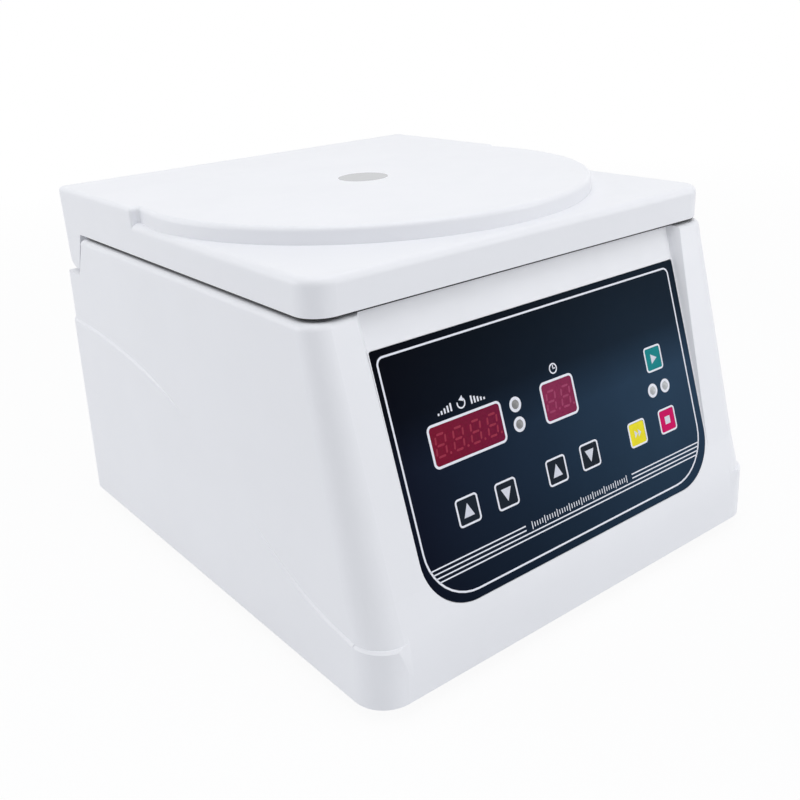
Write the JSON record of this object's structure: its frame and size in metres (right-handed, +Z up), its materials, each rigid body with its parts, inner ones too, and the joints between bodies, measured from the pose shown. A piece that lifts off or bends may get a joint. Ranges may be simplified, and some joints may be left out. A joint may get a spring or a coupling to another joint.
{
  "type": "microplate centrifuge",
  "caption": "Low-speed bench centrifuge for microplates: drafted white housing with a slanted key panel, hinged lid with a round sight window, steel chamber and open pocket rotor.",
  "frame": {"origin": "centre of the overall box in plan, on the bench under the feet", "axes": "+Z up, -Y out of the front (the control panel side), +X to the right of someone facing the front"},
  "size_m": [0.3196, 0.356, 0.2342],
  "materials": {
    "white_abs": "satin",
    "liner_abs": "matt",
    "window_acrylic": "polished",
    "overlay_film": "satin",
    "window_red": "gloss",
    "window_magenta": "gloss",
    "led_module": "matt",
    "lamp_lens": "gloss",
    "key_black": "satin",
    "key_teal": "satin",
    "key_crimson": "satin",
    "key_yellow": "satin",
    "black_plastic": "matt",
    "board_green": "satin",
    "contact_metal": "polished",
    "pan_steel": "powder coat",
    "rear_steel": "powder coat",
    "zinc_steel": "zinc plated",
    "stainless": "brushed",
    "rubber_black": "matt",
    "rubber_grey": "matt",
    "motor_case": "satin",
    "bearing_steel": "ground",
    "rotor_aluminium": "anodised",
    "core_steel": "varnished"
  },
  "bodies": {
    "chassis": {"housing": "white_abs", "base_pan": "pan_steel", "rear_panel": "rear_steel", "foot_screws": "zinc_steel", "base_screws": "zinc_steel", "rear_screws": "zinc_steel", "foot_front_left": "rubber_black", "foot_rear_left": "rubber_black", "foot_front_right": "rubber_black", "foot_rear_right": "rubber_black", "mains_inlet": "black_plastic", "inlet_pins": "contact_metal", "fuse_holder": "black_plastic", "switch_frame": "black_plastic", "chamber_bowl": "stainless", "guard_ring": "zinc_steel", "rim_seal": "rubber_grey", "shaft_boot": "rubber_black", "dampers": "rubber_black", "motor_plate": "zinc_steel", "motor_housing": "motor_case", "motor_bearings": "bearing_steel", "motor_screws": "zinc_steel", "latch_bracket": "zinc_steel", "latch_solenoid": "motor_case", "lid_sensor": "black_plastic", "hinge_bracket_left": "zinc_steel", "hinge_bracket_right": "zinc_steel", "hinge_pin_left": "bearing_steel", "hinge_pin_right": "bearing_steel", "hinge_screws": "zinc_steel", "control_overlay": "overlay_film", "speed_window": "window_red", "time_window": "window_magenta", "speed_display": "led_module", "time_display": "led_module", "indicator_lamps": "lamp_lens", "key_switches": "black_plastic", "control_board": "board_green", "mains_transformer": "core_steel", "drive_board": "board_green"},
    "lid": {"lid_shell": "white_abs", "lid_window": "window_acrylic", "lid_liner": "liner_abs", "liner_screws": "zinc_steel", "lid_striker": "stainless", "sensor_magnet": "core_steel"},
    "rotor_assembly": {"motor_shaft": "bearing_steel", "rotor_hub": "stainless", "rotor": "rotor_aluminium", "rotor_nut": "black_plastic"},
    "latch_bolt": {"latch_bolt": "bearing_steel"},
    "power_rocker": {"power_rocker": "black_plastic"},
    "key_speed_up": {"key_speed_up": "key_black"},
    "key_speed_down": {"key_speed_down": "key_black"},
    "key_time_up": {"key_time_up": "key_black"},
    "key_time_down": {"key_time_down": "key_black"},
    "key_start": {"key_start": "key_teal"},
    "key_stop": {"key_stop": "key_crimson"},
    "key_mode": {"key_mode": "key_yellow"}
  },
  "joints": [
    {"name": "lid_hinge", "type": "hinge", "parent": "chassis", "child": "lid", "pos_m": [0, 0.1633, 0.191], "axis": [-1, 0, 0], "range_deg": [0, 80]},
    {"name": "rotor_spin", "type": "hinge", "parent": "chassis", "child": "rotor_assembly", "pos_m": [0, 0.0265, 0.104], "axis": [0, 0, 1], "continuous": true},
    {"name": "latch_slide", "type": "slide", "parent": "chassis", "child": "latch_bolt", "axis": [-1, 0, 0], "range_m": [0, 0.012]},
    {"name": "power_rocker_tilt", "type": "hinge", "parent": "chassis", "child": "power_rocker", "pos_m": [0.094, 0.1687, 0.06], "axis": [1, 0, 0], "range_deg": [0, 18]},
    {"name": "key_speed_up_press", "type": "slide", "parent": "chassis", "child": "key_speed_up", "axis": [0, 0.9553, -0.2957], "range_m": [0, 0.0005], "stiffness_N_per_m": 2000},
    {"name": "key_speed_down_press", "type": "slide", "parent": "chassis", "child": "key_speed_down", "axis": [0, 0.9553, -0.2957], "range_m": [0, 0.0005], "stiffness_N_per_m": 2000},
    {"name": "key_time_up_press", "type": "slide", "parent": "chassis", "child": "key_time_up", "axis": [0, 0.9553, -0.2957], "range_m": [0, 0.0005], "stiffness_N_per_m": 2000},
    {"name": "key_time_down_press", "type": "slide", "parent": "chassis", "child": "key_time_down", "axis": [0, 0.9553, -0.2957], "range_m": [0, 0.0005], "stiffness_N_per_m": 2000},
    {"name": "key_start_press", "type": "slide", "parent": "chassis", "child": "key_start", "axis": [0, 0.9553, -0.2957], "range_m": [0, 0.0005], "stiffness_N_per_m": 2000},
    {"name": "key_stop_press", "type": "slide", "parent": "chassis", "child": "key_stop", "axis": [0, 0.9553, -0.2957], "range_m": [0, 0.0005], "stiffness_N_per_m": 2000},
    {"name": "key_mode_press", "type": "slide", "parent": "chassis", "child": "key_mode", "axis": [0, 0.9553, -0.2957], "range_m": [0, 0.0005], "stiffness_N_per_m": 2000}
  ]
}
